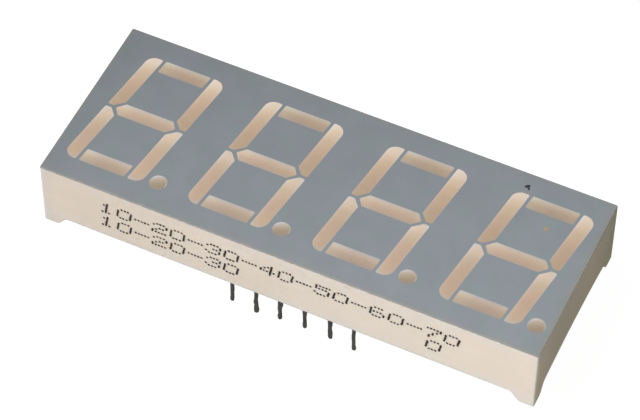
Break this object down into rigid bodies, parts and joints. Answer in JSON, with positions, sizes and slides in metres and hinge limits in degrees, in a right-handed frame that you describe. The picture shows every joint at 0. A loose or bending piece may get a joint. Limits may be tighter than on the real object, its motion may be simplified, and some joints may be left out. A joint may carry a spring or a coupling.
{
  "type": "seven segment display module",
  "caption": "Through-hole seven segment display module: cream housing, grey face, translucent slanted digits with decimal points, and two rows of round pins under it.",
  "frame": {"origin": "centre of the pin grid on the plane that the four corner feet stand on", "axes": "+X along the row of digits, towards the last digit's decimal point; +Y up the digits; +Z out of the display face, away from the pins"},
  "size_m": [0.0506, 0.019, 0.0127],
  "materials": {
    "housing": "satin cream moulded plastic",
    "face_ink": "matt grey printed coat",
    "resin": "translucent peach diffused resin",
    "potting": "translucent peach potting resin",
    "board": "green fibreglass laminate",
    "copper": "bare copper",
    "solder": "bright solder",
    "pin": "dull tinned wire",
    "die": "red light-emitting die",
    "bond_wire": "bright fine wire"
  },
  "bodies": {
    "root": {"housing": "housing", "face_coat": "face_ink", "digit_1_segment_a": "resin", "digit_1_segment_b": "resin", "digit_1_segment_c": "resin", "digit_1_segment_d": "resin", "digit_1_segment_e": "resin", "digit_1_segment_f": "resin", "digit_1_segment_g": "resin", "digit_1_point": "resin", "digit_2_segment_a": "resin", "digit_2_segment_b": "resin", "digit_2_segment_c": "resin", "digit_2_segment_d": "resin", "digit_2_segment_e": "resin", "digit_2_segment_f": "resin", "digit_2_segment_g": "resin", "digit_2_point": "resin", "digit_3_segment_a": "resin", "digit_3_segment_b": "resin", "digit_3_segment_c": "resin", "digit_3_segment_d": "resin", "digit_3_segment_e": "resin", "digit_3_segment_f": "resin", "digit_3_segment_g": "resin", "digit_3_point": "resin", "digit_4_segment_a": "resin", "digit_4_segment_b": "resin", "digit_4_segment_c": "resin", "digit_4_segment_d": "resin", "digit_4_segment_e": "resin", "digit_4_segment_f": "resin", "digit_4_segment_g": "resin", "digit_4_point": "resin", "digit_1_led_dies": "die", "digit_2_led_dies": "die", "digit_3_led_dies": "die", "digit_4_led_dies": "die", "digit_1_bond_wires": "bond_wire", "digit_2_bond_wires": "bond_wire", "digit_3_bond_wires": "bond_wire", "digit_4_bond_wires": "bond_wire", "circuit_board": "board", "board_tracks": "copper", "pin_solder": "solder", "back_potting": "potting", "pin_1": "pin", "pin_2": "pin", "pin_3": "pin", "pin_4": "pin", "pin_5": "pin", "pin_6": "pin", "pin_7": "pin", "pin_8": "pin", "pin_9": "pin", "pin_10": "pin", "pin_11": "pin", "pin_12": "pin"}
  },
  "joints": []
}
